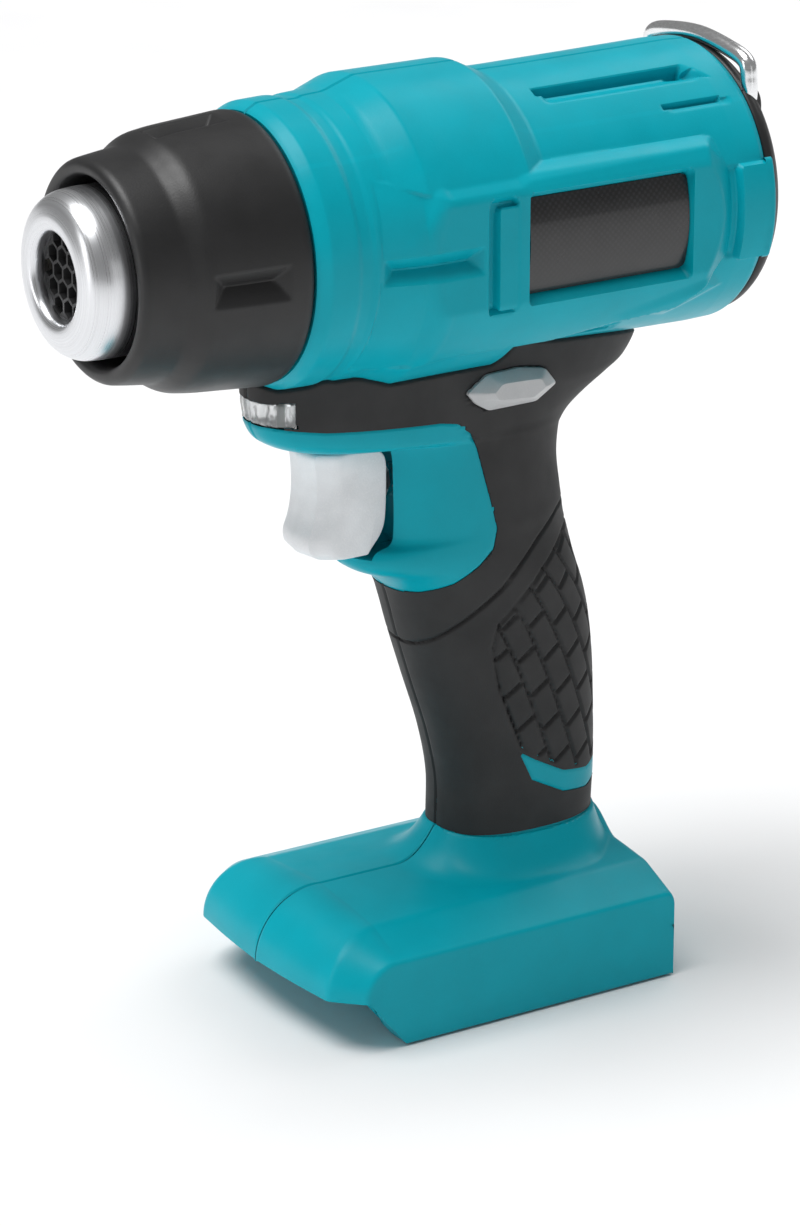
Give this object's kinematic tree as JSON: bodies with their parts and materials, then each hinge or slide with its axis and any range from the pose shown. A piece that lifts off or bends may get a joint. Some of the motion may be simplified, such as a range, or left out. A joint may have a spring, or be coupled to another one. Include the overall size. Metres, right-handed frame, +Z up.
{
  "type": "heat gun",
  "caption": "Cordless pistol-grip heat gun, bare tool with a slide battery foot: steel outlet, twist collar, blower barrel, trigger, side lock button, rear hook.",
  "frame": {"origin": "under the middle of the tool's overall box, on the plane of the foot's underside", "axes": "+Z up along the grip, -Y the way the air leaves, +X to the user's left"},
  "size_m": [0.074, 0.1832, 0.2289],
  "materials": {
    "teal_shell": "satin, fine moulded grain",
    "soft_grip": "matt, fine grain",
    "dark_plastic": "matt, fine grain",
    "nameplate": "gloss over a woven pattern",
    "screws": "black oxide",
    "outlet_steel": "lathe-brushed",
    "black_ceramic": "matt ceramic",
    "mica": "layered mica",
    "ceramic": "matt ceramic",
    "heater_wire": "oxidised",
    "grey_plastic": "matt",
    "lock_plastic": "satin",
    "trigger_plastic": "fine grain",
    "bright_steel": "bright",
    "black_plastic": "satin",
    "lens": "clear",
    "circuit_board": "solder mask",
    "aluminium": "extruded",
    "brass": "plain",
    "red_lead": "wire jacket",
    "black_lead": "wire jacket"
  },
  "bodies": {
    "frame": {"air_duct": "dark_plastic", "battery_lead_negative": "black_lead", "battery_lead_positive": "red_lead", "capacitor": "black_plastic", "control_board": "circuit_board", "dust_screen": "heater_wire", "grip_skin_left": "soft_grip", "grip_skin_right": "soft_grip", "heat_sink": "aluminium", "heater_bulkhead": "mica", "heater_coil": "heater_wire", "heater_core": "ceramic", "heater_lead": "red_lead", "housing_left": "teal_shell", "housing_right": "teal_shell", "housing_screw_1": "screws", "housing_screw_2": "screws", "housing_screw_3": "screws", "housing_screw_4": "screws", "housing_screw_5": "screws", "housing_screw_6": "screws", "housing_screw_7": "screws", "housing_screw_8": "screws", "housing_screw_9": "screws", "lamp_board": "circuit_board", "lamp_lens": "lens", "mica_sleeve": "mica", "motor_can": "bright_steel", "motor_end_bell": "black_plastic", "motor_lead": "red_lead", "motor_mount": "dark_plastic", "nameplate_left": "nameplate", "nameplate_right": "nameplate", "outlet_honeycomb": "black_ceramic", "rear_cap": "dark_plastic", "steel_outlet": "outlet_steel", "terminal_block": "black_plastic", "terminal_negative": "brass", "terminal_positive": "brass", "terminal_signal": "brass", "thermal_cutout": "grey_plastic", "trigger_spring": "bright_steel", "trigger_switch": "black_plastic"},
    "twist_collar": {"twist_collar": "dark_plastic"},
    "rotor": {"fan_impeller": "grey_plastic", "motor_shaft": "bright_steel"},
    "hook": {"hanging_hook": "bright_steel"},
    "trigger": {"trigger": "trigger_plastic", "switch_plunger": "grey_plastic"},
    "lock": {"lock_button": "lock_plastic"}
  },
  "joints": [
    {"name": "trigger_pull", "type": "slide", "parent": "frame", "child": "trigger", "axis": [0, 1, 0], "range_m": [0, 0.0065], "stiffness_N_per_m": 800, "springref_m": -0.004, "deforming": ["trigger_spring"]},
    {"name": "lock_slide", "type": "slide", "parent": "frame", "child": "lock", "axis": [-1, 0, 0], "range_m": [0, 0.0036]},
    {"name": "hook_pivot", "type": "hinge", "parent": "frame", "child": "hook", "pos_m": [0, 0.0856, 0.2125], "axis": [-1, 0, 0], "range_deg": [0, 90]},
    {"name": "fan_spin", "type": "hinge", "parent": "frame", "child": "rotor", "pos_m": [0, 0.0086, 0.192], "axis": [0, 1, 0], "continuous": true},
    {"name": "collar_twist", "type": "hinge", "parent": "frame", "child": "twist_collar", "pos_m": [0, -0.0594, 0.192], "axis": [0, 1, 0], "range_deg": [0, 20]}
  ]
}
